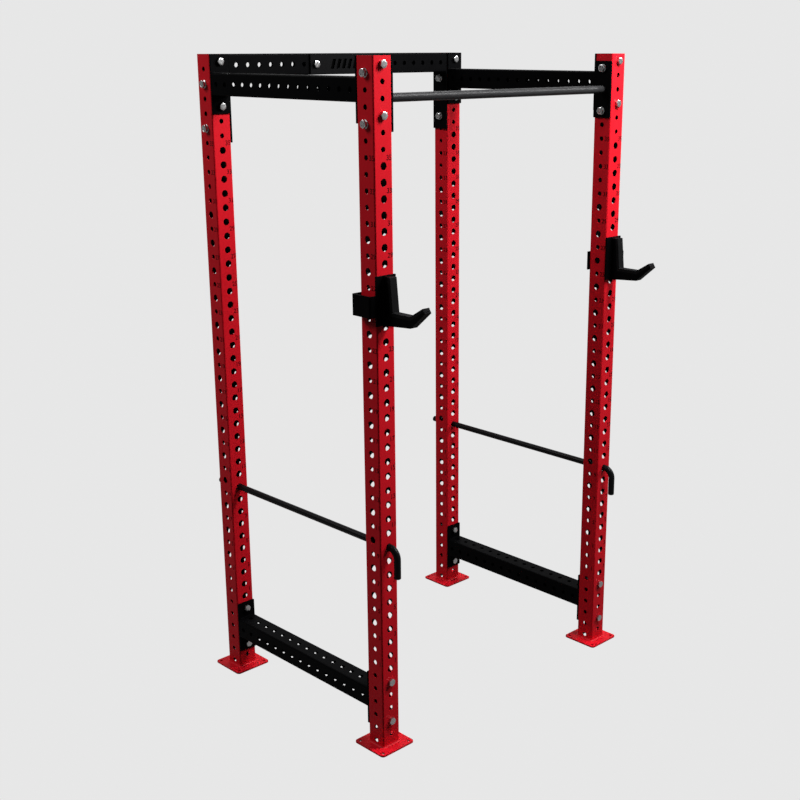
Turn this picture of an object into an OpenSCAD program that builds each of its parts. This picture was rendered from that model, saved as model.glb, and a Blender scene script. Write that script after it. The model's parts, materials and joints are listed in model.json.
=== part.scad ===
// Power cage: four drilled square uprights joined by bolted beams, with a pull-up
// bar, two bent safety rods and a pair of J-cups. Millimetres, +Z up, +Y to the rear.
// The origin is the centre of the footprint on the floor.

/* [Cage] */
// Clear width between the left and right uprights
inner_width = 1092.2; // [900:0.1:1250]
// Clear depth between the front and rear uprights
inner_depth = 774.7; // [620:0.1:1200]
// Height from the floor to the top of the uprights, an odd number of half hole pitches
cage_height = 2362.2; // [2260.6:50.8:2768.6]

/* [Square tube] */
// Outer width of every square tube
tube_w = 76.2; // [75:0.1:78]
// Wall thickness of every square tube
tube_wall = 3; // [2.5:0.1:4.5]
// Outer corner radius of every square tube
tube_corner_r = 5.5; // [5:0.1:8]

/* [Holes] */
// Holes for the bolts
bolt_hole_d = 17.5; // [16.5:0.1:18.5]
// Holes for rods, pins and attachments
pin_hole_d = 25.4; // [25:0.1:27]

/* [Plates] */
// Thickness of the foot plates and end plates
plate_t = 6.35; // [5:0.05:8]
// Side of the square foot plates
foot_w = 152.4; // [145:0.1:170]
// Corner radius of the foot plates
foot_corner_r = 12.7; // [6:0.1:18]
// Distance between the anchor holes of a foot plate
anchor_pitch = 120.6; // [112:0.1:124]
// Diameter of the anchor holes
anchor_hole_d = 11.1; // [8:0.1:13]
// Side of the square vent in the middle of each foot plate, inside the upright
vent_w = 69.8; // [40:0.1:70]
// Height of the end plates of the side beams and of the pull-up bar
end_plate_h = 203.2; // [190:0.1:210]
// Height of the end plates of the rear crossmember
tall_plate_h = 304.8; // [290:0.1:310]
// Height of the centre line of the lower side beams
low_beam_z = 177.8; // [177.8:50.8:279.4]

/* [Nameplate] */
// Length of the nameplate on the rear crossmember
nameplate_len = 355.6; // [340:0.1:390]
// Number of slanted slots cut in the nameplate
nameplate_slots = 6; // [1:1:7]

/* [Fasteners] */
// Thread diameter of the bolts
bolt_d = 15.9; // [14:0.1:16]
// Length of the bolts under the head
bolt_len = 95.2; // [94.5:0.1:120]
// Width across the flats of heads and nuts
hex_af = 23.8; // [22:0.1:24]
// Height of a bolt head
head_h = 9.9; // [8:0.1:11]
// Height of a nut
nut_h = 10; // [9:0.1:14]
// Outer diameter of the washers
washer_d = 28.6; // [27:0.1:34]
// Thickness of the washers
washer_t = 2.4; // [1.5:0.1:3]

/* [Pull-up bar] */
// Diameter of the pull-up bar
bar_d = 28.6; // [25:0.1:35]
// Depth of the centre of the pull-up bar below the top of the cage
bar_drop = 127; // [127:50.8:228.6]

/* [Safety rods] */
// Diameter of the safety rods
rod_d = 24; // [22:0.1:24.4]
// Height of the safety rods, a whole number of hole pitches
rod_z = 762; // [457.2:50.8:1117.6]
// Length of rod standing out behind the rear uprights
rod_tail = 44.5; // [20:0.1:60]
// Distance of the hanging handle in front of the uprights
handle_reach = 41.9; // [40:0.1:60]
// Radius of the bend to the handle
rod_bend_r = 35.6; // [30:0.1:38]
// Drop of the handle's end below the rod
handle_drop = 104.1; // [90:0.1:140]

/* [J-cups] */
// Height of the J-cup pins, at one of the large side holes
cup_pin_z = 1600.2; // [1295.4:101.6:1701.8]
// Diameter of the J-cup pins
cup_pin_d = 24; // [22:0.1:24.4]
// Width of the hook that carries the bar
hook_w = 30.5; // [25:0.1:40]
// Depth of the tray from the liner to the foot of the lip
tray_depth = 78; // [60:0.1:90]
// Angle of the lip above the tray
lip_angle = 31; // [25:1:40]
// Length of the lip
lip_len = 67; // [50:0.1:75]
// Thickness of the plastic liner
liner_t = 12.7; // [9:0.1:13]
// Thickness of the bracket's steel
cup_steel_t = 6.35; // [5:0.05:7]
// Clearance between the bracket and the upright
cup_gap = 0.4; // [0.3:0.1:1]

/* [Hidden] */
$fn = 48;

LEFT = -1;
RIGHT = 1;
FRONT = -1;
REAR = 1;

// Distance between neighbouring holes on one face
hole_pitch = 50.8;

// Corner radius of the vents in the foot plates
vent_corner_r = 3;

// Centre lines of the uprights
upright_x = (inner_width + tube_w) / 2;
upright_y = (inner_depth + tube_w) / 2;
// Faces that look into the cage
face_x = inner_width / 2;
face_y = inner_depth / 2;
outer_y = face_y + tube_w;

// Half a pitch is one step: even steps have front holes, odd steps have side holes
step = hole_pitch / 2;
hole_steps = round(cage_height / step) - 1;
plain_steps = 12;
first_side_pin_step = 19;
last_side_pin_gap = 21;

// Offset of the bolts from the centre of a side beam's end plate
plate_bolt_z = 3 * step;
top_beam_z = cage_height - end_plate_h / 2;
crossmember_z = cage_height - tube_w / 2;
bar_z = cage_height - bar_drop;
crossmember_bolt_z = [cage_height - 4 * step, cage_height - 10 * step];
bar_bolt_z = [bar_z + plate_bolt_z, bar_z - plate_bolt_z];

// Holes along the beams, counted out from the middle
beam_len = inner_depth - 2 * plate_t;
crossmember_len = inner_width - 2 * plate_t;
end_margin = 24;
nameplate_t = plate_t;
nameplate_bolt_x = 3 * hole_pitch;
slot_w = 15;
slot_h = 36;
slot_lean = 12;
slot_pitch = 27;
slot_corner_r = 3;

// Half height of the J-cup's parts about its pin
cup_plate_low = -69.9;
cup_plate_high = 91.4;
clasp_low = -39.4;
clasp_high = 30.5;
cup_plate_in = -40.6;
cup_plate_out = 44.5;
clasp_out = 71.5;
clasp_in = -44.5;
clasp_bend_r = 8;
hook_top = 88.9;
tray_z = -22.9;
hook_low_back = -69.9;
hook_low_front = -60.4;
liner_top_front = 31.8;
liner_low_front = 43.2;
lip_steel_t = 7;
pin_shoulder_d = 36;
pin_chamfer = 2;
screw_head_d = 11;
screw_d = 6;
screw_cover = 5;
tray_screw_z = -58;

// Points of an arc, from angle a0 to a1
function arc(cx, cy, r, a0, a1, n = 6) =
    [for (i = [0:n]) let (a = a0 + (a1 - a0) * i / n) [cx + r * cos(a), cy + r * sin(a)]];

// Outline of a rectangle w by h with rounded corners, centred
function rounded(w, h, r) = concat(
    arc(w / 2 - r, h / 2 - r, r, 0, 90),
    arc(-w / 2 + r, h / 2 - r, r, 90, 180),
    arc(-w / 2 + r, -h / 2 + r, r, 180, 270),
    arc(w / 2 - r, -h / 2 + r, r, 270, 360));

// Unit vector at an angle
function unit(a) = [cos(a), sin(a)];

// The holes near both ends of an upright take bolts, the rest take pins
function front_hole_is_large(i) = i >= plain_steps && i <= hole_steps - plain_steps;
function side_hole_is_large(i) = i >= first_side_pin_step
    && i <= hole_steps - last_side_pin_gap
    && (i - first_side_pin_step) % 4 == 0;

// Stations of the holes along a beam of a given length
function stations(len) = let (n = floor((len / 2 - end_margin) / hole_pitch))
    [for (i = [-n:n]) i * hole_pitch];

// ---- Square tubes ----

module square_tube(len) {
    linear_extrude(height = len, center = true)
        difference() {
            polygon(rounded(tube_w, tube_w, tube_corner_r));
            polygon(rounded(tube_w - 2 * tube_wall, tube_w - 2 * tube_wall,
                tube_corner_r - tube_wall));
        }
}

// Hole through both walls of a tube that stands on end: along Y or along X
module front_hole(z, d) {
    translate([0, 0, z])
        rotate([90, 0, 0])
            cylinder(d = d, h = tube_w + 2, center = true);
}

module side_hole(z, d) {
    translate([0, 0, z])
        rotate([0, 90, 0])
            cylinder(d = d, h = tube_w + 2, center = true);
}

module upright(side, end) {
    color("crimson")
        translate([side * upright_x, end * upright_y, 0])
            difference() {
                translate([0, 0, (cage_height + plate_t) / 2])
                    square_tube(cage_height - plate_t);
                for (i = [2:2:hole_steps])
                    front_hole(i * step, front_hole_is_large(i) ? pin_hole_d : bolt_hole_d);
                for (i = [1:2:hole_steps])
                    side_hole(i * step, side_hole_is_large(i) ? pin_hole_d : bolt_hole_d);
            }
}

// Tube along Z with bolt holes through all four faces
module drilled_beam(len) {
    difference() {
        square_tube(len);
        for (z = stations(len)) {
            front_hole(z, bolt_hole_d);
            side_hole(z, bolt_hole_d);
        }
    }
}

module side_beam(side, z) {
    color([0.12, 0.12, 0.13])
        translate([side * upright_x, 0, z])
            rotate([90, 0, 0])
                drilled_beam(beam_len);
}

module rear_crossmember() {
    color([0.12, 0.12, 0.13])
        translate([0, upright_y, crossmember_z])
            rotate([0, 90, 0])
                drilled_beam(crossmember_len);
}

// ---- Plates ----

module foot_plate(side, end) {
    color("crimson")
        translate([side * upright_x, end * upright_y, 0])
            difference() {
                linear_extrude(height = plate_t)
                    polygon(rounded(foot_w, foot_w, foot_corner_r));
                translate([0, 0, -1])
                    linear_extrude(height = plate_t + 2)
                        polygon(rounded(vent_w, vent_w, vent_corner_r));
                for (x = [-1, 1], y = [-1, 1])
                    translate([x * anchor_pitch / 2, y * anchor_pitch / 2, -1])
                        cylinder(d = anchor_hole_d, h = plate_t + 2);
            }
}

// Upright plate in the XZ plane, its back at y = 0, with two bolt holes
module end_plate(h, bolt_z) {
    rotate([90, 0, 0])
        difference() {
            linear_extrude(height = plate_t)
                polygon(rounded(tube_w, h, 2));
            for (z = bolt_z)
                translate([0, z, -1])
                    cylinder(d = bolt_hole_d, h = plate_t + 2);
        }
}

module side_beam_end_plates(side, z) {
    color([0.10, 0.10, 0.11])
        for (end = [FRONT, REAR])
            translate([side * upright_x, end * face_y, z])
                rotate([0, 0, end == REAR ? 0 : 180])
                    end_plate(end_plate_h, [-plate_bolt_z, plate_bolt_z]);
}

// A pair of plates on the uprights' inner faces, across the cage
module cross_plates(y, z, h, bolt_z) {
    for (side = [LEFT, RIGHT])
        translate([side * face_x, y, z])
            rotate([0, 0, -side * 90])
                end_plate(h, bolt_z);
}

module rear_crossmember_end_plates() {
    plate_z = cage_height - tall_plate_h / 2;
    color([0.10, 0.10, 0.11])
        cross_plates(upright_y, plate_z, tall_plate_h, [for (z = crossmember_bolt_z) z - plate_z]);
}

module pull_up_bar_end_plates() {
    color([0.10, 0.10, 0.11])
        cross_plates(-upright_y, bar_z, end_plate_h, [-plate_bolt_z, plate_bolt_z]);
}

module slanted_slot() {
    lean = slot_lean;
    w = slot_w / 2;
    h = slot_h / 2;
    multmatrix([[1, lean / slot_h, 0, 0], [0, 1, 0, 0], [0, 0, 1, 0], [0, 0, 0, 1]])
        linear_extrude(height = nameplate_t + 2)
            polygon(rounded(2 * w, 2 * h, slot_corner_r));
}

module nameplate() {
    color([0.16, 0.16, 0.17])
        translate([0, face_y, crossmember_z])
            rotate([90, 0, 0])
                difference() {
                    linear_extrude(height = nameplate_t)
                        polygon(rounded(nameplate_len, tube_w, 3));
                    for (x = [-nameplate_bolt_x, nameplate_bolt_x])
                        translate([x, 0, -1])
                            cylinder(d = bolt_hole_d, h = nameplate_t + 2);
                    for (i = [0:nameplate_slots - 1])
                        translate([(i - (nameplate_slots - 1) / 2) * slot_pitch, 0, -1])
                            slanted_slot();
                }
}

module pull_up_bar() {
    len = inner_width - 2 * plate_t;
    color([0.20, 0.20, 0.21])
        translate([0, -upright_y, bar_z])
            rotate([0, 90, 0])
                cylinder(d = bar_d, h = len, center = true);
}

// ---- Fasteners ----
// Each stands along +Z, with the face that the head bears on at z = 0, and the
// joint that it clamps above that face.

module hex_blank(h) {
    corner_d = hex_af / cos(30);
    intersection() {
        cylinder(d = corner_d, h = h, $fn = 6);
        cylinder(d1 = corner_d + 1.5 * h, d2 = hex_af * 0.98, h = h);
    }
}

module bolt() {
    mirror([0, 0, 1])
        hex_blank(head_h);
    cylinder(d = bolt_d, h = bolt_len - 1);
    translate([0, 0, bolt_len - 1])
        cylinder(d1 = bolt_d, d2 = bolt_d - 2, h = 1);
}

module washer(grip) {
    translate([0, 0, grip])
        difference() {
            cylinder(d = washer_d, h = washer_t);
            translate([0, 0, -1])
                cylinder(d = bolt_d, h = washer_t + 2);
        }
}

module nut(grip) {
    translate([0, 0, grip + washer_t])
        difference() {
            hex_blank(nut_h);
            translate([0, 0, -1])
                cylinder(d = bolt_d, h = nut_h + 2);
        }
}

// Grip of the bolts: one upright or beam and one plate
grip = tube_w + plate_t;

// Places of the bolts, each with its head towards -Y or towards +X
module at_side_beam_bolts() {
    for (side = [LEFT, RIGHT], z = [low_beam_z, top_beam_z], dz = [-plate_bolt_z, plate_bolt_z])
        for (y = [-outer_y, face_y - plate_t])
            translate([side * upright_x, y, z + dz])
                rotate([-90, 0, 0])
                    children();
}

module at_cross_bolts(y, heights) {
    for (z = heights, x = [face_x + tube_w, -face_x + plate_t])
        translate([x, y, z])
            rotate([0, -90, 0])
                children();
}

module at_nameplate_bolts() {
    for (x = [-nameplate_bolt_x, nameplate_bolt_x])
        translate([x, face_y - nameplate_t, crossmember_z])
            rotate([-90, 0, 0])
                children();
}

module side_beam_bolts() {
    color("silver")
        at_side_beam_bolts()
            bolt();
}

module side_beam_washers() {
    color("silver")
        at_side_beam_bolts()
            washer(grip);
}

module side_beam_nuts() {
    color("silver")
        at_side_beam_bolts()
            nut(grip);
}

module crossmember_bolts() {
    color("silver")
        at_cross_bolts(upright_y, crossmember_bolt_z)
            bolt();
}

module crossmember_washers() {
    color("silver")
        at_cross_bolts(upright_y, crossmember_bolt_z)
            washer(grip);
}

module crossmember_nuts() {
    color("silver")
        at_cross_bolts(upright_y, crossmember_bolt_z)
            nut(grip);
}

module pull_up_bar_bolts() {
    color("silver")
        at_cross_bolts(-upright_y, bar_bolt_z)
            bolt();
}

module pull_up_bar_washers() {
    color("silver")
        at_cross_bolts(-upright_y, bar_bolt_z)
            washer(grip);
}

module pull_up_bar_nuts() {
    color("silver")
        at_cross_bolts(-upright_y, bar_bolt_z)
            nut(grip);
}

module nameplate_bolts() {
    color("silver")
        at_nameplate_bolts()
            bolt();
}

module nameplate_washers() {
    color("silver")
        at_nameplate_bolts()
            washer(grip);
}

module nameplate_nuts() {
    color("silver")
        at_nameplate_bolts()
            nut(grip);
}

// ---- Safety rods ----

module safety_rod(side) {
    handle_y = -outer_y - handle_reach;
    bend_y = handle_y + rod_bend_r;
    straight = outer_y + rod_tail - bend_y;
    leg = handle_drop - rod_bend_r;
    color([0.05, 0.05, 0.06])
        translate([side * upright_x, 0, rod_z]) {
            // Straight run through both uprights, with a chamfered tail
            translate([0, bend_y, 0])
                rotate([-90, 0, 0]) {
                    cylinder(d = rod_d, h = straight - pin_chamfer);
                    translate([0, 0, straight - pin_chamfer])
                        cylinder(d1 = rod_d, d2 = rod_d - 2 * pin_chamfer, h = pin_chamfer);
                }
            // Quarter bend down to the handle
            translate([0, bend_y, -rod_bend_r])
                rotate([90, 0, -90])
                    rotate_extrude(angle = 90)
                        translate([rod_bend_r, 0])
                            circle(d = rod_d);
            // Hanging handle with a chamfered end
            translate([0, handle_y, -rod_bend_r])
                rotate([180, 0, 0]) {
                    cylinder(d = rod_d, h = leg - pin_chamfer);
                    translate([0, 0, leg - pin_chamfer])
                        cylinder(d1 = rod_d, d2 = rod_d - 2 * pin_chamfer, h = pin_chamfer);
                }
        }
}

// ---- J-cups ----
// Drawn about the upright's centre line at the height of the pin, with +X pointing
// away from the cage, and mirrored for the left side.

plate_back = -tube_w / 2 - cup_gap;
plate_front = plate_back - cup_steel_t;

module place_cup(side) {
    translate([side * upright_x, -upright_y, cup_pin_z])
        mirror([side == LEFT ? 1 : 0, 0, 0])
            children();
}

// Block between two corners
module block(a, b) {
    translate(a)
        cube(b - a);
}

// Prism across the hook, from an outline in the YZ plane
module hook_prism(outline) {
    translate([-hook_w / 2, 0, 0])
        rotate([90, 0, 90])
            linear_extrude(height = hook_w)
                polygon(outline);
}

module bracket(side) {
    clasp_back = tube_w / 2 + cup_gap;
    clasp_rear = clasp_back + cup_steel_t;
    r = clasp_bend_r;
    ri = r - cup_steel_t;
    outline = concat(
        [[clasp_in, clasp_rear]],
        [[clasp_in, clasp_back]],
        arc(clasp_out - r, clasp_rear - r, ri, 90, 0),
        arc(clasp_out - r, plate_front + r, ri, 0, -90),
        [[cup_plate_in, plate_back]],
        [[cup_plate_in, plate_front]],
        arc(clasp_out - r, plate_front + r, r, -90, 0),
        arc(clasp_out - r, clasp_rear - r, r, 0, 90));
    color([0.10, 0.10, 0.11])
        place_cup(side)
            difference() {
                union() {
                    translate([0, 0, clasp_low])
                        linear_extrude(height = clasp_high - clasp_low)
                            polygon(outline);
                    block([cup_plate_in, plate_front, cup_plate_low],
                        [cup_plate_out, plate_back, cup_plate_high]);
                }
                translate([clasp_out - r, 0, 0])
                    rotate([0, 90, 0])
                        cylinder(d = cup_pin_d, h = 3 * r, center = true);
                screw_bores();
            }
}

// Corners of the liner's face, from the top down the back, along the tray and up the lip
face_top = [plate_front - liner_top_front, hook_top];
face_corner = [plate_front - liner_low_front, tray_z];
tray_end = [face_corner[0] - tray_depth, tray_z];
lip_way = unit(180 - lip_angle);
lip_under = unit(270 - lip_angle);
lip_tip = tray_end + lip_len * lip_way;
// The same corners on the liner's back
back_slope = (face_top[0] - face_corner[0]) / (face_top[1] - face_corner[1]);
liner_run = liner_t * sqrt(1 + back_slope * back_slope);
back_top = face_top + [liner_run, 0];
back_corner = face_corner + [liner_run - liner_t * back_slope, -liner_t];
tray_end_back = tray_end + [-liner_t * tan(lip_angle / 2), -liner_t];
lip_tip_back = lip_tip + liner_t * lip_under;
lip_tip_steel = lip_tip + (liner_t + lip_steel_t) * lip_under;
hook_toe = [tray_end[0] - 3, hook_low_front];

// The two screws that hold the liner: from behind the plate into the liner's back, and
// from under the hook into its tray. Their tips stay under the liner's face.
back_screw_z = (hook_top + tray_z) / 2;
back_face_y = (face_top[0] + face_corner[0]) / 2;
back_screw_len = plate_back - back_face_y - screw_cover;
tray_screw_len = tray_z - tray_screw_z - screw_cover;

// Screw along +Z with the top of its flat head at z = 0
module liner_screw(len) {
    cone_h = (screw_head_d - screw_d) / 2;
    cylinder(d1 = screw_head_d, d2 = screw_d, h = cone_h);
    translate([0, 0, cone_h])
        cylinder(d = screw_d, h = len - cone_h);
}

module back_screw() {
    translate([0, plate_back, back_screw_z])
        rotate([90, 0, 0])
            liner_screw(back_screw_len);
}

module tray_screw() {
    translate([0, face_corner[0] - tray_depth / 2, tray_screw_z])
        liner_screw(tray_screw_len);
}

// Room for both screws, with a counterbore below the one under the tray
module screw_bores() {
    back_screw();
    tray_screw();
    translate([0, face_corner[0] - tray_depth / 2, cup_plate_low])
        cylinder(d = screw_head_d, h = tray_screw_z - cup_plate_low);
}

module hook(side) {
    color([0.10, 0.10, 0.11])
        place_cup(side)
            difference() {
                hook_prism([
                    [plate_front, hook_top], back_top, back_corner, tray_end_back,
                    lip_tip_back, lip_tip_steel, hook_toe, [plate_front, hook_low_back]
                ]);
                screw_bores();
            }
}

module liner(side) {
    color([0.06, 0.06, 0.06])
        place_cup(side)
            difference() {
                hook_prism([
                    face_top, face_corner, tray_end, lip_tip,
                    lip_tip_back, tray_end_back, back_corner, back_top
                ]);
                screw_bores();
            }
}

module liner_screws(side) {
    color("silver")
        place_cup(side) {
            back_screw();
            tray_screw();
        }
}

module cup_pin(side) {
    web_in = clasp_out - cup_steel_t;
    tip = -tube_w / 2;
    color([0.20, 0.20, 0.21])
        place_cup(side)
            rotate([0, 90, 0]) {
                translate([0, 0, tip])
                    cylinder(d1 = cup_pin_d - 2 * pin_chamfer, d2 = cup_pin_d, h = pin_chamfer);
                translate([0, 0, tip + pin_chamfer])
                    cylinder(d = cup_pin_d, h = clasp_out - tip - pin_chamfer);
                translate([0, 0, tube_w / 2 + cup_gap])
                    cylinder(d = pin_shoulder_d, h = web_in - tube_w / 2 - cup_gap);
            }
}

// ---- Assembly ----

upright(LEFT, FRONT);  // upright_front_left
upright(RIGHT, FRONT);  // upright_front_right
upright(LEFT, REAR);  // upright_rear_left
upright(RIGHT, REAR);  // upright_rear_right
foot_plate(LEFT, FRONT);  // foot_plate_front_left
foot_plate(RIGHT, FRONT);  // foot_plate_front_right
foot_plate(LEFT, REAR);  // foot_plate_rear_left
foot_plate(RIGHT, REAR);  // foot_plate_rear_right
side_beam(LEFT, top_beam_z);  // top_beam_left
side_beam(RIGHT, top_beam_z);  // top_beam_right
side_beam(LEFT, low_beam_z);  // bottom_beam_left
side_beam(RIGHT, low_beam_z);  // bottom_beam_right
side_beam_end_plates(LEFT, top_beam_z);  // top_beam_left_end_plates
side_beam_end_plates(RIGHT, top_beam_z);  // top_beam_right_end_plates
side_beam_end_plates(LEFT, low_beam_z);  // bottom_beam_left_end_plates
side_beam_end_plates(RIGHT, low_beam_z);  // bottom_beam_right_end_plates
rear_crossmember();
rear_crossmember_end_plates();
nameplate();
pull_up_bar();
pull_up_bar_end_plates();
side_beam_bolts();
side_beam_washers();
side_beam_nuts();
crossmember_bolts();
crossmember_washers();
crossmember_nuts();
pull_up_bar_bolts();
pull_up_bar_washers();
pull_up_bar_nuts();
nameplate_bolts();
nameplate_washers();
nameplate_nuts();
safety_rod(LEFT);  // safety_rod_left
safety_rod(RIGHT);  // safety_rod_right
bracket(LEFT);  // j_cup_left_bracket
hook(LEFT);  // j_cup_left_hook
liner(LEFT);  // j_cup_left_liner
cup_pin(LEFT);  // j_cup_left_pin
liner_screws(LEFT);  // j_cup_left_screws
bracket(RIGHT);  // j_cup_right_bracket
hook(RIGHT);  // j_cup_right_hook
liner(RIGHT);  // j_cup_right_liner
cup_pin(RIGHT);  // j_cup_right_pin
liner_screws(RIGHT);  // j_cup_right_screws
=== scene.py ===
import json
import math

import bmesh
import bpy
from mathutils import Matrix, Vector

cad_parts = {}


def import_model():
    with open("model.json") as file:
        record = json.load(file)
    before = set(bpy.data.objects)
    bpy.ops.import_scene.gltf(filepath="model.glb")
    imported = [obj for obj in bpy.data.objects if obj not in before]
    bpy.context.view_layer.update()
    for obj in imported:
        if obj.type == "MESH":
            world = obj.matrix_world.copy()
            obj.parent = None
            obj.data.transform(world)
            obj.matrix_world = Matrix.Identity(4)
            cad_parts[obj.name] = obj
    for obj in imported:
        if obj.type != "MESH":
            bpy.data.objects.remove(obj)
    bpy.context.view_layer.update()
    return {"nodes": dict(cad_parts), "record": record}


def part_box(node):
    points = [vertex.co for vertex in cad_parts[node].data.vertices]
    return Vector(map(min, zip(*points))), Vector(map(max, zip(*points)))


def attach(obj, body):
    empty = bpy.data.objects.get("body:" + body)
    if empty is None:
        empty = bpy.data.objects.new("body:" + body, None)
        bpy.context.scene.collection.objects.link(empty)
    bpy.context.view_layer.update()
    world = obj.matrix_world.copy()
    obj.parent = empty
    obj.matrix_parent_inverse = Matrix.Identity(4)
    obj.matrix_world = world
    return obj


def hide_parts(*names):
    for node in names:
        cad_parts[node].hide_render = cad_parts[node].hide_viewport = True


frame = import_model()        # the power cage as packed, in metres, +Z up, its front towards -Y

NODES = frame["nodes"]
MM = 0.001
INCH = 0.0254
SIDES = {"left": -1, "right": 1}
ENDS = {"front": -1, "rear": 1}


# ---- Places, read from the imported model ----

def centre_of(node):
    low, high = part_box(node)
    return (low + high) / 2


def size_of(node):
    low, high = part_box(node)
    return high - low


UPRIGHT = {(end, side): centre_of(f"upright_{end}_{side}") for end in ENDS for side in SIDES}
TUBE = size_of("upright_front_left").x
HALF = TUBE / 2
PLATE = size_of("foot_plate_front_left").z
CAGE_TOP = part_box("upright_front_left")[1].z
LOW_BEAM_Z = centre_of("bottom_beam_left").z
TOP_BEAM_Z = centre_of("top_beam_left").z
CROSS_Z = centre_of("rear_crossmember").z
BAR_Z = centre_of("pull_up_bar").z
BAR_R = size_of("pull_up_bar").z / 2
CORNER_R = 5.5 * MM              # of the tubes
BORE_HALF = HALF - 2.4 * MM      # lies within the wall, so the bore's faces are inside it
SIDE_X = UPRIGHT["front", "right"].x
FRONT_Y = UPRIGHT["front", "right"].y
REAR_Y = UPRIGHT["rear", "right"].y
INNER_X = SIDE_X - HALF
INNER_Y = REAR_Y - HALF
BEAM_END_Y = INNER_Y - PLATE
BEAM_END_X = INNER_X - PLATE


# ---- Materials ----

RED = (0.68, 0.008, 0.018)
BLACK = (0.0020, 0.0020, 0.0023)
NAMEPLATE_BLACK = (0.0022, 0.0022, 0.0026)
# painted shade: near-black for the bore of the upright tubes
INSIDE_SHADE = (0.012, 0.009, 0.009)
ZINC = (0.50, 0.50, 0.50)
BAR_GREY = (0.022, 0.022, 0.023)
ROD_BLACK = (0.005, 0.005, 0.0055)
LINER_BLACK = (0.006, 0.006, 0.0065)
# painted shade: the near-black of the sheet that darkens the nameplate's slots
SLOT_SHADE_BLACK = (0.0008, 0.0008, 0.0008)
ALONG_X, ALONG_Y = (0.02, 1, 1), (1, 0.02, 1)    # scales that draw a noise out along an axis
NOISE_LOW, NOISE_HIGH = 0.3, 0.7       # the usual range of a noise texture


def new_material(name):
    """Returns a new material, its node tree, its main shader and object coordinates."""
    made = bpy.data.materials.new(name)
    made.use_nodes = True
    tree = made.node_tree
    shader = tree.nodes["Principled BSDF"]
    place = tree.nodes.new("ShaderNodeTexCoord").outputs["Object"]
    return made, tree, shader, place


def noise(tree, place, scale, detail, roughness=0.5):
    node = tree.nodes.new("ShaderNodeTexNoise")
    node.inputs["Scale"].default_value = scale
    node.inputs["Detail"].default_value = detail
    node.inputs["Roughness"].default_value = roughness
    tree.links.new(place, node.inputs["Vector"])
    return node.outputs["Fac"]


def ramp(tree, value, stops):
    """A colour ramp with (position, colour) stops."""
    node = tree.nodes.new("ShaderNodeValToRGB")
    first, last = node.color_ramp.elements
    first.position, first.color = stops[0][0], (*stops[0][1], 1)
    last.position, last.color = stops[-1][0], (*stops[-1][1], 1)
    for position, colour in stops[1:-1]:
        node.color_ramp.elements.new(position).color = (*colour, 1)
    tree.links.new(value, node.inputs["Fac"])
    return node.outputs["Color"]


def spread(tree, value, low, high):
    """Maps a noise value from its usual range to low to high."""
    node = tree.nodes.new("ShaderNodeMapRange")
    node.inputs["From Min"].default_value = NOISE_LOW
    node.inputs["From Max"].default_value = NOISE_HIGH
    node.inputs["To Min"].default_value = low
    node.inputs["To Max"].default_value = high
    tree.links.new(value, node.inputs["Value"])
    return node.outputs["Result"]


def speckle(tree, value, colour, dark, light):
    """The colour, times dark where the noise is low and times light where it is high."""
    return ramp(tree, value, [(NOISE_LOW, shade(colour, dark)), (NOISE_HIGH, shade(colour, light))])


def vary_roughness(tree, shader, value, rough, by):
    tree.links.new(spread(tree, value, rough - by, rough + by), shader.inputs["Roughness"])


def bump(tree, shader, height, depth, strength):
    node = tree.nodes.new("ShaderNodeBump")
    node.inputs["Distance"].default_value = depth
    node.inputs["Strength"].default_value = strength
    tree.links.new(height, node.inputs["Height"])
    tree.links.new(node.outputs["Normal"], shader.inputs["Normal"])


def shade(colour, factor):
    return tuple(min(1.0, channel * factor) for channel in colour)


def calculate(tree, operation, first, second):
    """A Math node on two values, each a number or a socket."""
    node = tree.nodes.new("ShaderNodeMath")
    node.operation = operation
    for socket, value in zip(node.inputs, (first, second)):
        if isinstance(value, (int, float)):
            socket.default_value = value
        else:
            tree.links.new(value, socket)
    return node.outputs["Value"]


def inside_an_upright(tree, place):
    """1 within the bore of the four upright tubes and 0 elsewhere."""
    split = tree.nodes.new("ShaderNodeSeparateXYZ")
    tree.links.new(place, split.inputs["Vector"])
    near = []
    for coordinate, middle in (("X", SIDE_X), ("Y", REAR_Y)):
        off = calculate(tree, "SUBTRACT", calculate(tree, "ABSOLUTE", split.outputs[coordinate], 0),
                        middle)
        near.append(calculate(tree, "LESS_THAN", calculate(tree, "ABSOLUTE", off, 0), BORE_HALF))
    return calculate(tree, "MULTIPLY", *near)


def powder_coat(name, colour, rough, grain=650, strength=0.22, vary=0.07, specular=0.1,
                shade_inside=False):
    """Baked powder coat: broad, faint changes of shade under a fine orange-peel skin.
    The inside of the uprights can be painted near-black: painted shade where little light reaches."""
    made, tree, shader, place = new_material(name)
    tint = ramp(tree, noise(tree, place, scale=5, detail=3), [
        (0.25, shade(colour, 1 - vary)), (0.5, colour), (0.75, shade(colour, 1 + vary))])
    # painted shade: the bore of the uprights turns near-black
    if shade_inside:
        mix = tree.nodes.new("ShaderNodeMix")
        mix.data_type = "RGBA"
        tree.links.new(inside_an_upright(tree, place), mix.inputs["Factor"])
        tree.links.new(tint, mix.inputs["A"])
        mix.inputs["B"].default_value = (*INSIDE_SHADE, 1)
        tint = mix.outputs["Result"]
    tree.links.new(tint, shader.inputs["Base Color"])
    skin = noise(tree, place, grain, detail=2)
    vary_roughness(tree, shader, noise(tree, place, scale=60, detail=3), rough, by=0.05)
    bump(tree, shader, skin, 0.12 * MM, strength)
    shader.inputs["Specular IOR Level"].default_value = specular
    return made


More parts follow.
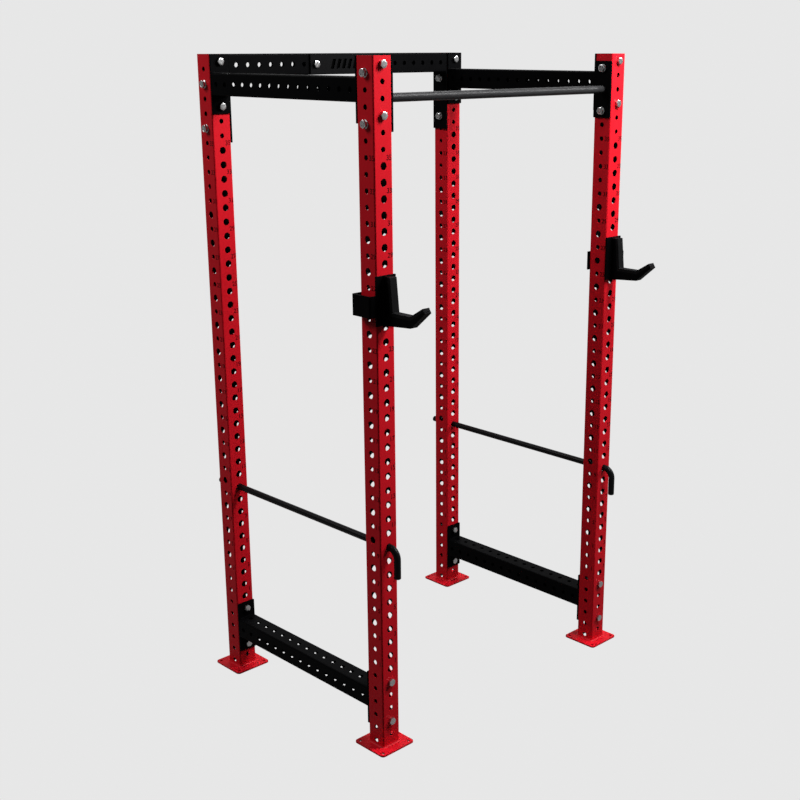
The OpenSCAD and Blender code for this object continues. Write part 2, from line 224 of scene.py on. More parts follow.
def plated_steel(name, colour, rough):
    """Plated steel, with the cloudy shade of plating and fine tool marks."""
    made, tree, shader, place = new_material(name)
    cloud = noise(tree, place, scale=90, detail=4, roughness=0.6)
    tint = speckle(tree, cloud, colour, dark=0.82, light=1.1)
    tree.links.new(tint, shader.inputs["Base Color"])
    vary_roughness(tree, shader, noise(tree, place, scale=140, detail=3), rough, by=0.08)
    bump(tree, shader, noise(tree, place, scale=400, detail=3), 0.05 * MM, strength=0.3)
    shader.inputs["Metallic"].default_value = 0.97
    return made


def turned_bar(name, colour, rough, stretch, specular):
    """Drawn bar: fine marks run along the axis that stretch shrinks."""
    made, tree, shader, place = new_material(name)
    mapping = tree.nodes.new("ShaderNodeMapping")
    mapping.inputs["Scale"].default_value = stretch
    tree.links.new(place, mapping.inputs["Vector"])
    marks = noise(tree, mapping.outputs["Vector"], scale=700, detail=3, roughness=0.6)
    tint = speckle(tree, marks, colour, dark=0.8, light=1.2)
    tree.links.new(tint, shader.inputs["Base Color"])
    vary_roughness(tree, shader, marks, rough, by=0.06)
    bump(tree, shader, marks, 0.04 * MM, strength=0.25)
    shader.inputs["Specular IOR Level"].default_value = specular
    return made


def machined_plastic(name, colour, rough, specular):
    """Milled plastic, and the near-black sheet of painted shade behind the nameplate's slots:
    cloudy, over fine, parallel marks.
    """
    made, tree, shader, place = new_material(name)
    wave = tree.nodes.new("ShaderNodeTexWave")
    wave.bands_direction = "Z"
    wave.inputs["Scale"].default_value = 160
    wave.inputs["Distortion"].default_value = 1.5
    wave.inputs["Detail"].default_value = 2
    tree.links.new(place, wave.inputs["Vector"])
    cloud = noise(tree, place, scale=35, detail=4)
    tint = speckle(tree, cloud, colour, dark=0.85, light=1.15)
    tree.links.new(tint, shader.inputs["Base Color"])
    vary_roughness(tree, shader, noise(tree, place, scale=220, detail=2), rough, by=0.05)
    bump(tree, shader, wave.outputs["Fac"], 0.04 * MM, strength=0.03)
    shader.inputs["Specular IOR Level"].default_value = specular
    return made


MATERIALS = {
    # the red coat carries painted shade inside the uprights
    "red_powder_coat": powder_coat("red_powder_coat", RED, 0.42, shade_inside=True),
    "black_powder_coat": powder_coat("black_powder_coat", BLACK, 0.45, vary=0.15, specular=0.015),
    "nameplate_coat": powder_coat("nameplate_coat", NAMEPLATE_BLACK, 0.5, grain=900,
                                  strength=0.4, specular=0.04),
    "zinc_plate": plated_steel("zinc_plate", ZINC, 0.27),
    "bar_steel": turned_bar("bar_steel", BAR_GREY, 0.40, ALONG_X, specular=0.07),
    "rod_coat": turned_bar("rod_coat", ROD_BLACK, 0.30, ALONG_Y, specular=0.07),
    "liner_plastic": machined_plastic("liner_plastic", LINER_BLACK, 0.72, specular=0.04),
}
ENGRAVING = powder_coat("engraved_red", shade(RED, 0.12), 0.55, specular=0.05)
# painted shade: the near-black sheet behind the nameplate's slots
SLOT_SHADE = machined_plastic("painted_slot_shade", SLOT_SHADE_BLACK, 0.8, specular=0.01)
SLOTS = {part["node"]: part["material_slot"] for part in frame["record"]["subparts"]}


def paint(piece, material):
    piece.data.materials.clear()
    piece.data.materials.append(material)


for node_name, node_object in NODES.items():
    paint(node_object, MATERIALS[SLOTS[node_name]])


# ---- Mesh helpers ----

X, Y, Z = Vector((1, 0, 0)), Vector((0, 1, 0)), Vector((0, 0, 1))
SHARP_FROM = math.radians(32)      # a sharper edge than this is shaded as a crease
BROKEN_FROM = math.radians(35)     # a sharper edge than this is broken on a finished copy
FLAT_WITHIN = math.radians(0.5)    # facets closer than this to flat are joined
SAME_POINT = 0.002 * MM


def add_piece(name, mesh, body, slot, material=None):
    piece = bpy.data.objects.new(name, mesh)
    bpy.context.scene.collection.objects.link(piece)
    paint(piece, material or MATERIALS[slot])
    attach(piece, body)
    return piece


def smooth_by_angle(mesh):
    mesh.shade_smooth()
    mesh.set_sharp_from_angle(angle=SHARP_FROM)


def mesh_from(name, verts, faces):
    mesh = bpy.data.meshes.new(name)
    mesh.from_pydata([tuple(v) for v in verts], [], faces)
    mesh.validate()
    mesh.update()
    smooth_by_angle(mesh)
    return mesh


def fixed(mesh):
    """Turns every shell's faces outward."""
    work = bmesh.new()
    work.from_mesh(mesh)
    bmesh.ops.recalc_face_normals(work, faces=work.faces)
    work.to_mesh(mesh)
    work.free()
    smooth_by_angle(mesh)
    return mesh


class Shape:
    """Vertices and faces of one mesh, gathered from many closed shells."""

    def __init__(self):
        self.verts = []
        self.faces = []

    def add(self, verts, faces, place=Matrix.Identity(4)):
        start = len(self.verts)
        self.verts += [place @ Vector(v) for v in verts]
        self.faces += [tuple(start + i for i in face) for face in faces]

    def mesh(self, name):
        return mesh_from(name, self.verts, self.faces)


def lathe(profile, turns, point_at):
    """A closed shell about +Z from (radius, height) points that start and end on the axis.
    point_at(i, radius, height, angle) gives the radius and height of a ring's points."""
    verts = [(0, 0, profile[0][1])]
    rings = profile[1:-1]
    for i, (radius, height) in enumerate(rings):
        for k in range(turns):
            angle = 2 * math.pi * k / turns
            r, z = point_at(i, radius, height, angle)
            verts.append((r * math.cos(angle), r * math.sin(angle), z))
    verts.append((0, 0, profile[-1][1]))
    faces = []
    last = len(verts) - 1
    for k in range(turns):
        after = (k + 1) % turns
        faces.append((0, 1 + after, 1 + k))
        top = 1 + (len(rings) - 1) * turns
        faces.append((last, top + k, top + after))
        for i in range(len(rings) - 1):
            a = 1 + i * turns
            faces.append((a + k, a + after, a + turns + after, a + turns + k))
    return verts, faces


def ring_lathe(profile, turns, point_at=None):
    """A closed ring about +Z from a closed loop of (radius, height) points. point_at, where
    it is given, works as in lathe."""
    verts = []
    for i, (radius, height) in enumerate(profile):
        for k in range(turns):
            angle = 2 * math.pi * k / turns
            r, z = point_at(i, radius, height, angle) if point_at else (radius, height)
            verts.append((r * math.cos(angle), r * math.sin(angle), z))
    faces = []
    count = len(profile)
    for i in range(count):
        a, b = i * turns, (i + 1) % count * turns
        for k in range(turns):
            after = (k + 1) % turns
            faces.append((a + k, a + after, b + after, b + k))
    return verts, faces


def rounded_rectangle(width, height, radius, steps=5):
    """Corner arcs of a rectangle, as 2D points that run anticlockwise."""
    points = []
    corners = [(1, 1, 0), (-1, 1, 90), (-1, -1, 180), (1, -1, 270)]
    for sx, sy, start in corners:
        for i in range(steps + 1):
            angle = math.radians(start + 90 * i / steps)
            points.append((sx * (width / 2 - radius) + radius * math.cos(angle),
                           sy * (height / 2 - radius) + radius * math.sin(angle)))
    return points


def resample(points, step, closed):
    """Points every step or so along a path, with the path's length up to each."""
    path = list(points) + ([points[0]] if closed else [])
    made, gone = [], 0.0
    for a, b in zip(path, path[1:]):
        length = (b - a).length
        count = max(1, round(length / step))
        for i in range(count):
            made.append((a.lerp(b, i / count), gone + length * i / count))
        gone += length
    if not closed:
        made.append((path[-1], gone))
    return made


BEAD_RIPPLE = 4.5 * MM
RIPPLE_DEPTH = 0.14      # of the bead's radius
BEAD_END = 0.5           # of its radius, at an open end
BEAD_SIDES = 8


def weld_bead(shape, points, radius, closed=True):
    """A weld bead along a path, with the small overlapping ripples that a pass leaves."""
    sides = BEAD_SIDES
    stations = resample([Vector(p) for p in points], BEAD_RIPPLE / 4, closed)
    count = len(stations)
    verts = []
    for i, (point, gone) in enumerate(stations):
        before = stations[i - 1][0] if closed or i else point
        after = stations[(i + 1) % count][0] if closed or i < count - 1 else point
        along = (after - before).normalized()
        side = along.orthogonal().normalized()
        if i:
            side = (last_side - along * last_side.dot(along)).normalized()
        last_side = side
        up = along.cross(side)
        ripple = abs(math.sin(math.pi * gone / BEAD_RIPPLE))
        swell = radius * (1 - RIPPLE_DEPTH + RIPPLE_DEPTH * ripple)
        if not closed and i in (0, count - 1):
            swell *= BEAD_END
        for k in range(sides):
            angle = 2 * math.pi * k / sides
            verts.append(point + swell * (math.cos(angle) * side + math.sin(angle) * up))
    faces = []
    for i in range(count if closed else count - 1):
        a, b = i * sides, (i + 1) % count * sides
        for k in range(sides):
            after = (k + 1) % sides
            faces.append((a + k, a + after, b + after, b + k))
    if not closed:
        faces.append(tuple(reversed(range(sides))))
        faces.append(tuple((count - 1) * sides + k for k in range(sides)))
    shape.add(verts, faces)


def loop_at(centre, across, upward, outline):
    """2D outline points laid out from a centre along two directions."""
    return [centre + across * u + upward * v for u, v in outline]


def finished(node, width, body, segments=2):
    """A copy of a CAD node with its facets joined and its sharp edges broken by width."""
    source = NODES[node]
    mesh = bpy.data.meshes.new(f"{node}_finished")
    work = bmesh.new()
    work.from_mesh(source.data)
    bmesh.ops.remove_doubles(work, verts=work.verts, dist=SAME_POINT)
    bmesh.ops.dissolve_limit(work, angle_limit=FLAT_WITHIN, verts=work.verts,
                             edges=work.edges)
    sharp = [e for e in work.edges if len(e.link_faces) == 2
             and e.calc_face_angle(0) > BROKEN_FROM]
    bmesh.ops.bevel(work, geom=sharp, offset=width, offset_type="OFFSET", segments=segments,
                    profile=0.5, affect="EDGES", clamp_overlap=False)
    bmesh.ops.recalc_face_normals(work, faces=work.faces)
    work.to_mesh(mesh)
    work.free()
    smooth_by_angle(mesh)
    piece = add_piece(f"{node}_finished", mesh, body, SLOTS[node])
    flatten = piece.modifiers.new("flat_faces", "WEIGHTED_NORMAL")
    flatten.keep_sharp = True
    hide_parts(node)


# ---- Plates, with their edges broken ----

# painted shade: the size of the near-black sheet that darkens the nameplate's slots
SHADE_SHEET_WIDE = 6.8 * INCH
SHADE_SHEET_TALL = 1.7 * INCH
SHADE_SHEET_THICK = 0.4 * MM
SHADE_SHEET_CORNER = 4 * MM

for end in ENDS:
    for side in SIDES:
        finished(f"foot_plate_{end}_{side}", width=0.5 * MM, body="cage")
for beam in ("top_beam_left", "top_beam_right", "bottom_beam_left", "bottom_beam_right",
             "rear_crossmember", "pull_up_bar"):
    finished(f"{beam}_end_plates", width=0.7 * MM, body="cage")
finished("nameplate", width=0.6 * MM, body="cage")


def slot_backing():
    """Painted shade: a thin near-black sheet behind the slots of the nameplate, standing in for the
    shade inside them.
    """
    low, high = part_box("nameplate")
    middle = (low + high) / 2
    outline = rounded_rectangle(SHADE_SHEET_WIDE, SHADE_SHEET_TALL, SHADE_SHEET_CORNER)
    count = len(outline)
    verts = [Vector((middle.x + u, y, middle.z + v))
             for y in (high.y, high.y - SHADE_SHEET_THICK) for u, v in outline]
    faces = [tuple(range(count)), tuple(reversed(range(count, 2 * count)))]
    faces += [(i, (i + 1) % count, count + (i + 1) % count, count + i) for i in range(count)]
    add_piece("nameplate_slot_shade", fixed(mesh_from("nameplate_slot_shade", verts, faces)), "cage",
              "nameplate_coat", SLOT_SHADE)


slot_backing()


# ---- Welds of the frame ----

FOOT_WELD = 9 * MM           # leg of the fillet
FOOT_WELD_STEPS = 6          # of its concave arc
FOOT_WELD_RIPPLE = 4 * MM
FOOT_WELD_SWELL = 0.03       # of its leg, at each ripple
FOOT_WELD_STEP = 2 * MM      # from each section to the next
FOOT_WELD_ROOT = -1.5 * MM   # how far it reaches into the tube and the plate
BEAM_BEAD = 3.6 * MM
BEAM_BEAD_OUT = 0.3 * MM     # from the beam's face to the bead's middle
GROUND_BEAD = 1.8 * MM
GROUND_BEAD_IN = 1.2 * MM    # from the bead's middle to the beam's face
BAR_BEAD = 3 * MM
BAR_BEAD_OUT = 0.5 * MM      # from the plate to the bead's middle
BAR_BEAD_POINTS = 36
J_CUP_BEAD = 3 * MM
J_CUP_BEAD_GAP = 6 * MM      # from each end of the hook


def foot_weld_mesh(centre):
    """A fillet weld round a tube: a concave ring with faint ripples, from wall to plate."""
    outline = rounded_rectangle(TUBE, TUBE, CORNER_R, steps=8)
    stations = resample([Vector((u, v, 0)) for u, v in outline], FOOT_WELD_STEP, closed=True)
    root = FOOT_WELD_ROOT
    verts, faces = [], []
    count = len(stations)
    for i, (point, gone) in enumerate(stations):
        before, after = stations[i - 1][0], stations[(i + 1) % count][0]
        out = (after - before).cross(Z).normalized()
        ripple = math.sin(2 * math.pi * gone / FOOT_WELD_RIPPLE)
        leg = FOOT_WELD * (1 + FOOT_WELD_SWELL * ripple)
        section = [(root, leg)]
        for k in range(FOOT_WELD_STEPS + 1):
            angle = math.radians(90 * k / FOOT_WELD_STEPS)
            section.append((leg * (1 - math.cos(angle)), leg * (1 - math.sin(angle))))
        section += [(leg, root), (root, root)]
        verts += [centre + point + out * r + Z * h for r, h in section]
    rows = len(section)
    for i in range(count):
        a, b = i * rows, (i + 1) % count * rows
        for k in range(rows):
            after = (k + 1) % rows
            faces.append((a + k, b + k, b + after, a + after))
    return fixed(mesh_from("foot_weld", verts, faces))


def foot_welds():
    """A fillet round each upright, where it stands on its foot plate."""
    for (end, side), centre in UPRIGHT.items():
        mesh = foot_weld_mesh(Vector((centre.x, centre.y, PLATE)))
        add_piece(f"foot_weld_{end}_{side}", mesh, "cage", "red_powder_coat")


def plate_edge_welds(name, centre, across, ups=(1, -1)):
    """Beads across a beam's end, above (1) and below (-1) it, where its plate stands past it,
    and low, ground beads on its flush sides."""
    shape = Shape()
    reach = HALF - CORNER_R / 2
    for up in ups:
        middle = centre + Z * up * (HALF + BEAM_BEAD_OUT)
        line = [middle - across * reach, middle + across * reach]
        weld_bead(shape, line, BEAM_BEAD, closed=False)
    reach_up = HALF - CORNER_R
    for side in (1, -1):
        middle = centre + across * side * (HALF - GROUND_BEAD_IN)
        line = [middle - Z * reach_up, middle + Z * reach_up]
        weld_bead(shape, line, GROUND_BEAD, closed=False)
    add_piece(name, shape.mesh("beam_weld"), "cage", "black_powder_coat")


def beam_welds():
    """The beads at both ends of the side beams and of the crossmember."""
    for level, z in (("top", TOP_BEAM_Z), ("bottom", LOW_BEAM_Z)):
        for side, sx in SIDES.items():
            for end, sy in ENDS.items():
                centre = Vector((sx * SIDE_X, sy * BEAM_END_Y, z))
                plate_edge_welds(f"{level}_beam_weld_{end}_{side}", centre, X)
    for side, sx in SIDES.items():
        centre = Vector((sx * BEAM_END_X, REAR_Y, CROSS_Z))
        plate_edge_welds(f"crossmember_weld_{side}", centre, Y, ups=(-1,))


def bar_welds():
    """A bead round each end of the pull-up bar, on its plate."""
    turns = [2 * math.pi * i / BAR_BEAD_POINTS for i in range(BAR_BEAD_POINTS)]
    circle = [(BAR_R * math.cos(turn), BAR_R * math.sin(turn)) for turn in turns]
    for side, sx in SIDES.items():
        shape = Shape()
        centre = Vector((sx * (BEAM_END_X - BAR_BEAD_OUT), FRONT_Y, BAR_Z))
        weld_bead(shape, loop_at(centre, Y, Z, circle), BAR_BEAD)
        add_piece(f"pull_up_bar_weld_{side}", shape.mesh("bar_weld"), "cage", "black_powder_coat")


foot_welds()
beam_welds()
bar_welds()


# ---- Fasteners ----

BOLT_R = 15.9 / 2 * MM
HEX_R = 23.8 / 2 * MM
HEAD_H = 9.9 * MM
NUT_H = 10 * MM
WASHER_R = 28.6 / 2 * MM
WASHER_H = 2.4 * MM
BOLT_LEN = 95.2 * MM
GRIP = TUBE + PLATE
THREAD_PITCH = 2.31 * MM
THREAD_DEPTH = 0.9 * MM
THREAD_LEN = 26 * MM
THREAD_STEPS = 6             # rings in each turn of the thread
TIP_CHAMFER = 1.2 * MM
TIP_R = BOLT_R - THREAD_DEPTH * 1.4
CROWN_R = HEX_R * 0.95       # where a hexagon's chamfer starts
HEAD_RING_R = CROWN_R * 0.55     # an edge loop on top of a head
HEX_CHAMFER = math.radians(30)
SIXTH_TURN = math.radians(60)
HEAD_FACE_H = 0.5 * MM       # washer face under a head
NUT_SLACK = 0.05 * MM        # between a bolt and its nut
NUT_MOUTH = 0.9 * MM         # countersink of a nut's hole
WASHER_SLACK = 0.1 * MM
WASHER_EDGE = 0.35 * MM
HEX_TURNS = 72
SHANK_TURNS = 28
WASHER_TURNS = 48
HEAD_TWIST = math.radians(17)    # from each head to the next, so that no two match
NUT_TWIST = math.radians(23)
FIRST_NUT = math.radians(9)
FLANK = (1, 1)       # stands for a profile point that the hexagon sets


def hex_radius(angle):
    """Distance from the centre to the side of the hexagon, on that bearing."""
    return HEX_R / math.cos(angle % SIXTH_TURN - SIXTH_TURN / 2)


def flank_top(height, angle):
    """Height at which a hexagon's flank meets the chamfer on top, on that bearing."""
    spare = max(0.0, hex_radius(angle) - CROWN_R)
    return height - spare * math.tan(HEX_CHAMFER)


def hex_head():
    """Head with a round washer face below and the usual 30 degree chamfer on top."""
    profile = [(0, 0), (CROWN_R, 0), (CROWN_R, HEAD_FACE_H), FLANK, FLANK, (CROWN_R, HEAD_H),
               (HEAD_RING_R, HEAD_H), (0, HEAD_H)]

    def at(i, radius, height, angle):
        if i == 2:
            return hex_radius(angle), HEAD_FACE_H
        if i == 3:
            return hex_radius(angle), flank_top(HEAD_H, angle)
        return radius, height

    return lathe(profile, HEX_TURNS, at)


def threaded_shank():
    """Plain shank with a real helical thread over its last stretch and a chamfered tip."""
    plain_end = BOLT_LEN - THREAD_LEN
    steps = int(THREAD_LEN / (THREAD_PITCH / THREAD_STEPS))
    profile = [(0, -HEAD_H / 2), (BOLT_R, -HEAD_H / 2), (BOLT_R, plain_end)]
    profile += [(BOLT_R, plain_end + THREAD_LEN * i / steps) for i in range(1, steps + 1)]
    profile += [(TIP_R, BOLT_LEN), (0, BOLT_LEN)]

    def at(i, radius, height, angle):
        if i < 2 or radius < BOLT_R:
            return radius, height
        turn = (height / THREAD_PITCH - angle / (2 * math.pi)) % 1
        groove = THREAD_DEPTH * (1 - abs(2 * turn - 1))
        fade = min(1.0, (height - plain_end) / (2 * THREAD_PITCH))
        tip = max(0.0, height - (BOLT_LEN - TIP_CHAMFER))
        return radius - groove * fade - tip, height

    return lathe(profile, SHANK_TURNS, at)


def hex_nut():
    """Nut chamfered on both faces, with a countersunk, bolt-sized hole."""
    bore = BOLT_R + NUT_SLACK
    mouth = bore + NUT_MOUTH
    profile = [(bore, NUT_H - NUT_MOUTH), (mouth, NUT_H), (CROWN_R, NUT_H), FLANK, FLANK,
               (CROWN_R, 0), (mouth, 0), (bore, NUT_MOUTH)]

    def at(i, radius, height, angle):
        if i == 3:
            return hex_radius(angle), flank_top(NUT_H, angle)
        if i == 4:
            return hex_radius(angle), NUT_H - flank_top(NUT_H, angle)
        return radius, height

    return ring_lathe(profile, HEX_TURNS, at)


def flat_washer():
    """A washer with its outer edges broken."""
    bore = BOLT_R + WASHER_SLACK
    edge = WASHER_EDGE
    profile = [(bore, 0), (bore, WASHER_H), (WASHER_R - edge, WASHER_H),
               (WASHER_R, WASHER_H - edge), (WASHER_R, edge), (WASHER_R - edge, 0)]
    return ring_lathe(profile, WASHER_TURNS)


def bolt_places(points, direction):
    """Places for bolts whose heads bear at the points and whose shanks run in direction."""
    turn = Vector(direction).to_track_quat("Z", "Y").to_matrix().to_4x4()
    return [Matrix.Translation(p) @ turn for p in points]


PLATE_BOLT_Z = 3 * INCH
SIDE_BEAM_BOLTS = bolt_places(
    [Vector((sx * SIDE_X, y, z + dz))
     for sx in SIDES.values()
     for z in (LOW_BEAM_Z, TOP_BEAM_Z)
     for dz in (-PLATE_BOLT_Z, PLATE_BOLT_Z)
     for y in (FRONT_Y - HALF, INNER_Y - PLATE)],
    (0, 1, 0))
CROSS_BOLT_HEIGHTS = (CAGE_TOP - 4 * INCH, CAGE_TOP - 10 * INCH)
CROSSMEMBER_BOLTS = bolt_places(
    [Vector((x, REAR_Y, z)) for z in CROSS_BOLT_HEIGHTS for x in (SIDE_X + HALF, -BEAM_END_X)],
    (-1, 0, 0))
PULL_UP_BAR_BOLTS = bolt_places(
    [Vector((x, FRONT_Y, BAR_Z + dz))
     for dz in (-PLATE_BOLT_Z, PLATE_BOLT_Z)
     for x in (SIDE_X + HALF, -BEAM_END_X)],
    (-1, 0, 0))
NAMEPLATE_BOLT_X = 6 * INCH
NAMEPLATE_BOLTS = bolt_places(
    [Vector((x, INNER_Y - PLATE, CROSS_Z)) for x in (-NAMEPLATE_BOLT_X, NAMEPLATE_BOLT_X)],
    (0, 1, 0))


def fasten(group, places):
    """Detailed bolts, washers and nuts in place of one group of plain ones."""
    bolts, washers, nuts = Shape(), Shape(), Shape()
    upside_down = Matrix.Diagonal((1, 1, -1, 1))
    for i, place in enumerate(places):
        twist = Matrix.Rotation(HEAD_TWIST * i, 4, "Z")
        bolts.add(*hex_head(), place @ twist @ upside_down)
        bolts.add(*threaded_shank(), place)
        washers.add(*flat_washer(), place @ Matrix.Translation((0, 0, GRIP)))
        seat = Matrix.Translation((0, 0, GRIP + WASHER_H))
        twist = Matrix.Rotation(NUT_TWIST * i + FIRST_NUT, 4, "Z")
        nuts.add(*hex_nut(), place @ seat @ twist)
    for kind, shape in (("bolts", bolts), ("washers", washers), ("nuts", nuts)):
        piece = add_piece(f"{group}_{kind}_detailed", fixed(shape.mesh(f"{group}_{kind}")),
                          "cage", "zinc_plate")
        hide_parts(f"{group}_{kind}")


fasten("side_beam", SIDE_BEAM_BOLTS)
fasten("crossmember", CROSSMEMBER_BOLTS)
fasten("pull_up_bar", PULL_UP_BAR_BOLTS)
fasten("nameplate", NAMEPLATE_BOLTS)


# ---- Hole numbers ----

NUMBERS = range(1, 37, 2)
DIGIT_H = 0.67 * INCH
DIGIT_RELIEF = 0.12 * MM
DIGIT_BOLDNESS = 0.016       # of the typeface's size
HOLE_ZERO_Z = 11 * INCH      # the height that a hole numbered 0 would have
HOLE_STEP = 2 * INCH
FRONT_OFFSET = 0.93 * INCH   # from the tube's middle, to the right
LEFT_OFFSET = 0.47 * INCH    # from the tube's front edge, to the rear


def number_mesh(number):
    """A number as flat figures with a little thickness, centred, its face towards +Z."""
    curve = bpy.data.curves.new("figures", "FONT")
    curve.body = str(number)
    curve.offset = DIGIT_BOLDNESS
    curve.resolution_u = 3
    curve.extrude = 0.5
    carrier = bpy.data.objects.new("figures", curve)
    bpy.context.scene.collection.objects.link(carrier)
    bpy.context.view_layer.update()
    made = bpy.data.meshes.new_from_object(
        carrier.evaluated_get(bpy.context.evaluated_depsgraph_get()))
    bpy.data.objects.remove(carrier)
    bpy.data.curves.remove(curve)
    low = Vector([min(v.co[i] for v in made.vertices) for i in range(3)])
    high = Vector([max(v.co[i] for v in made.vertices) for i in range(3)])
    middle = (low + high) / 2
    scale = DIGIT_H / (high.y - low.y)
    size = Vector((scale, scale, 2 * DIGIT_RELIEF / (high.z - low.z)))
    verts = [[(v.co[i] - middle[i]) * size[i] for i in range(3)] for v in made.vertices]
    faces = [tuple(p.vertices) for p in made.polygons]
    bpy.data.meshes.remove(made)
    return verts, faces


def hole_numbers():
    """Odd numbers beside every second hole, on the front and on the left of each upright."""
    figures = {number: number_mesh(number) for number in NUMBERS}
    facing_front = Matrix(((1, 0, 0, 0), (0, 0, -1, 0), (0, 1, 0, 0), (0, 0, 0, 1)))
    facing_left = Matrix(((0, 0, -1, 0), (-1, 0, 0, 0), (0, 1, 0, 0), (0, 0, 0, 1)))
    for (end, side), centre in UPRIGHT.items():
        shape = Shape()
        for number in NUMBERS:
            z = HOLE_ZERO_Z + HOLE_STEP * number
            front = Vector((centre.x + FRONT_OFFSET, centre.y - HALF, z))
            left = Vector((centre.x - HALF, centre.y - HALF + LEFT_OFFSET, z))
            shape.add(*figures[number], Matrix.Translation(front) @ facing_front)
            shape.add(*figures[number], Matrix.Translation(left) @ facing_left)
        add_piece(f"hole_numbers_{end}_{side}", shape.mesh("hole_numbers"), "cage",
                  "red_powder_coat", ENGRAVING)


hole_numbers()


# ---- J-cups ----

def j_cup(side):
    """A J-cup's parts with their edges broken, and the welds that hold its hook."""
    body = f"j_cup_{side}"
    for part, width in (("bracket", 0.8 * MM), ("hook", 1.0 * MM), ("liner", 1.6 * MM)):
        finished(f"{body}_{part}", width, body, segments=3)
    plate_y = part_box(f"{body}_bracket")[0].y
    low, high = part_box(f"{body}_hook")
    shape = Shape()
    for x in (low.x, high.x):
        line = [Vector((x, plate_y, low.z + J_CUP_BEAD_GAP)),
                Vector((x, plate_y, high.z - J_CUP_BEAD_GAP))]
        weld_bead(shape, line, J_CUP_BEAD, closed=False)
    add_piece(f"{body}_welds", shape.mesh("j_cup_welds"), body, "black_powder_coat")


for cup_side in SIDES:
    j_cup(cup_side)


# ---- Studio ----

EYE = (-3.2064, -3.3642, 2.3908)
YAW, PITCH = math.radians(44.973), math.radians(-16.386)
LENS, SENSOR = 55.93, 36
SHIFT_X, SHIFT_Y = -0.05815, 0.01357

BACKDROP = 0.80          # what the camera sees of the floor and the world
LEFT_SHINE = 0.06        # the world in reflections, at the cage's left
RIGHT_SHINE = 0.50       # and at its right
GRADE_FROM, GRADE_TO = -1, 0.5   # X of the directions where that rise starts and ends
FLOOR_SHINE = 0.32       # the floor in reflections
AMBIENT = 0.02           # the light that the world throws
FLOOR_GREY = 0.80
FLOOR_BOUNCE = 0.02      # the light that the floor throws, apart from what it reflects
FLOOR_REACH = 60.0

# name: (place, aim, side of the square, power in watts)
SOFTBOXES = {
    "key": ((0.7, -1.45, 3.5), (0.2, 0, 1.4), 0.8, 88),
    "fill": ((-3.7, 3.1, 5.9), (-0.3, 0, 1.2), 2.4, 190),
    "side": ((4.4, -2.9, 4.4), (0.3, 0, 1.2), 1.2, 185),
    "back": ((2.4, 2.2, 6.0), (0, 0, 1.0), 2.0, 90),
}


def camera():
    """A camera at the photograph's place and angle."""
    data = bpy.data.cameras.new("camera")
    data.lens, data.sensor_width = LENS, SENSOR
    data.shift_x, data.shift_y = SHIFT_X, SHIFT_Y
    eye = bpy.data.objects.new("camera", data)
    bpy.context.scene.collection.objects.link(eye)
    level = math.cos(PITCH)
    aim = Vector((math.sin(YAW) * level, math.cos(YAW) * level, math.sin(PITCH)))
    eye.location = EYE
    eye.rotation_euler = aim.to_track_quat("-Z", "Y").to_euler()
    bpy.context.scene.camera = eye


def by_ray(tree, seen, mirrored, unseen):
    """A strength that the camera sees, another for reflections, and one that lights."""
    rays = tree.nodes.new("ShaderNodeLightPath").outputs
    total = unseen
    for ray, strength in (("Is Camera Ray", seen), ("Is Glossy Ray", mirrored)):
        extra = calculate(tree, "SUBTRACT", strength, unseen)
        total = calculate(tree, "ADD", calculate(tree, "MULTIPLY", rays[ray], extra), total)
    return total


def world():
    """An even backdrop whose reflected strength rises from the cage's left to its right."""
    made = bpy.data.worlds.new("studio")
    bpy.context.scene.world = made
    made.use_nodes = True
    tree = made.node_tree
    background = tree.nodes["Background"]
    background.inputs["Color"].default_value = (1, 1, 1, 1)
    split = tree.nodes.new("ShaderNodeSeparateXYZ")
    tree.links.new(tree.nodes.new("ShaderNodeTexCoord").outputs["Generated"],
                   split.inputs["Vector"])
    across = tree.nodes.new("ShaderNodeMapRange")
    across.inputs["From Min"].default_value = GRADE_FROM
    across.inputs["From Max"].default_value = GRADE_TO
    across.inputs["To Min"].default_value = LEFT_SHINE
    across.inputs["To Max"].default_value = RIGHT_SHINE
    tree.links.new(split.outputs["X"], across.inputs["Value"])
    tree.links.new(by_ray(tree, BACKDROP, across.outputs["Result"], AMBIENT),
                   background.inputs["Strength"])


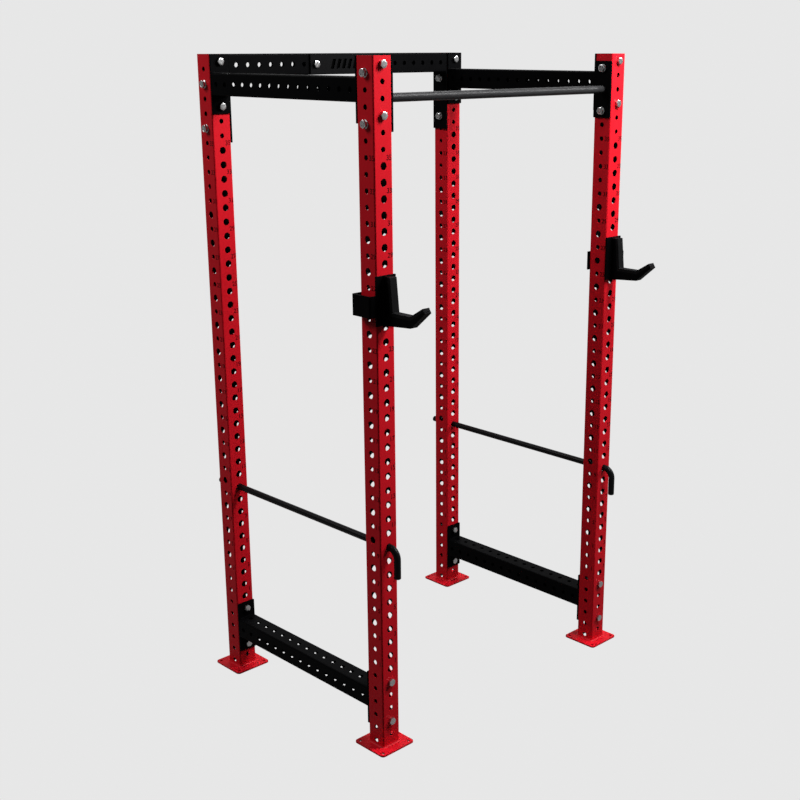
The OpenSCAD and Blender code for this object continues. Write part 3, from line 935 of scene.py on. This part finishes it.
def floor():
    """A wide, plain floor that the camera sees as the same even tone as the world."""
    mesh = bpy.data.meshes.new("floor")
    reach = FLOOR_REACH
    corners = [(-reach, -reach, 0), (reach, -reach, 0), (reach, reach, 0), (-reach, reach, 0)]
    mesh.from_pydata(corners, [], [(0, 1, 2, 3)])
    made = bpy.data.objects.new("floor", mesh)
    bpy.context.scene.collection.objects.link(made)
    material = bpy.data.materials.new("floor")
    material.use_nodes = True
    tree = material.node_tree
    shader = tree.nodes["Principled BSDF"]
    shader.inputs["Base Color"].default_value = (FLOOR_GREY, FLOOR_GREY, FLOOR_GREY, 1)
    shader.inputs["Roughness"].default_value = 1
    shader.inputs["Specular IOR Level"].default_value = 0
    shader.inputs["Emission Color"].default_value = (1, 1, 1, 1)
    tree.links.new(by_ray(tree, 0, FLOOR_SHINE, FLOOR_BOUNCE), shader.inputs["Emission Strength"])
    plain = tree.nodes.new("ShaderNodeEmission")
    plain.inputs["Strength"].default_value = BACKDROP
    choose = tree.nodes.new("ShaderNodeMixShader")
    tree.links.new(tree.nodes.new("ShaderNodeLightPath").outputs["Is Camera Ray"],
                   choose.inputs["Fac"])
    tree.links.new(shader.outputs["BSDF"], choose.inputs[1])
    tree.links.new(plain.outputs["Emission"], choose.inputs[2])
    tree.links.new(choose.outputs["Shader"], tree.nodes["Material Output"].inputs["Surface"])
    mesh.materials.append(material)
    return made


def softbox(name, place, aim, size, watts, skip):
    """An area light that leaves the floor out, so that the floor stays evenly pale."""
    data = bpy.data.lights.new(name, "AREA")
    data.shape = "SQUARE"
    data.size = size
    data.energy = watts
    lamp = bpy.data.objects.new(name, data)
    bpy.context.scene.collection.objects.link(lamp)
    lamp.location = place
    lamp.rotation_euler = (Vector(aim) - Vector(place)).to_track_quat("-Z", "Y").to_euler()
    lamp.light_linking.receiver_collection = skip


def studio():
    camera()
    world()
    ground = floor()
    skip = bpy.data.collections.new("floor_only")
    skip.objects.link(ground)
    skip.collection_objects[0].light_linking.link_state = "EXCLUDE"
    for name, (place, aim, size, watts) in SOFTBOXES.items():
        softbox(name, place, aim, size, watts, skip)
    bpy.context.scene.view_settings.view_transform = "Standard"


studio()
